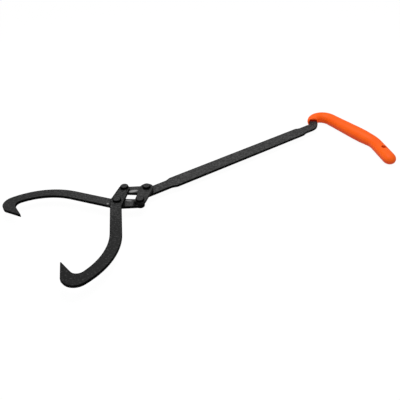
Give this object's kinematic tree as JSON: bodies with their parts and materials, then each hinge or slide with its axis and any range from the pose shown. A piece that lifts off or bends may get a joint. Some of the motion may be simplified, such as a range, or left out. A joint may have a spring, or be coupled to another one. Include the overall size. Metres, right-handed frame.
{
  "type": "pulling tongs",
  "caption": "Long pulling tongs for small logs: two curved hook jaws on a riveted diamond linkage, a flat steel draw bar and a bent orange cross grip.",
  "frame": {"origin": "centre of the hanging hole through the grip, on the mid-plane of the draw bar", "axes": "+Z square to the steel plates, along the hanging hole and towards the rivets' large heads; +X along the draw bar, from the jaws towards the grip; +Y across the tool, from the hanging hole towards the draw bar"},
  "size_m": [0.7752, 0.3383, 0.0321],
  "materials": {
    "steel": "satin black paint",
    "rivet": "satin black paint, slightly worn",
    "grip": "soft moulded orange plastic"
  },
  "bodies": {
    "handle": {"draw_bar": "steel", "grip": "grip", "rivet_bar": "rivet"},
    "link_top": {"link_top": "steel", "rivet_jaw_under": "rivet"},
    "link_under": {"link_under": "steel"},
    "jaw_top": {"jaw_top": "steel", "rivet_centre": "rivet", "rivet_jaw_top": "rivet"},
    "jaw_under": {"jaw_under": "steel"}
  },
  "joints": [
    {"name": "handle_swing", "type": "hinge", "parent": "handle", "child": "link_top", "pos_m": [-0.49252, 0.17063, 0], "axis": [0, 0, 1], "range_deg": [-60, 108]},
    {"name": "jaw_close", "type": "hinge", "parent": "link_top", "child": "jaw_under", "pos_m": [-0.5227, 0.14199, 0], "axis": [0, 0, 1], "range_deg": [-56, 50]},
    {"name": "link_fold", "type": "hinge", "parent": "link_top", "child": "link_under", "pos_m": [-0.49252, 0.17063, 0], "axis": [0, 0, 1], "range_deg": [-56, 50]},
    {"name": "jaw_follow", "type": "hinge", "parent": "link_under", "child": "jaw_top", "pos_m": [-0.52639, 0.19479, 0], "axis": [0, 0, 1], "range_deg": [-50, 56]}
  ],
  "couplings": [
    {"joint": "link_fold", "follows": "jaw_close", "ratio": 1},
    {"joint": "jaw_follow", "follows": "jaw_close", "ratio": -1}
  ]
}
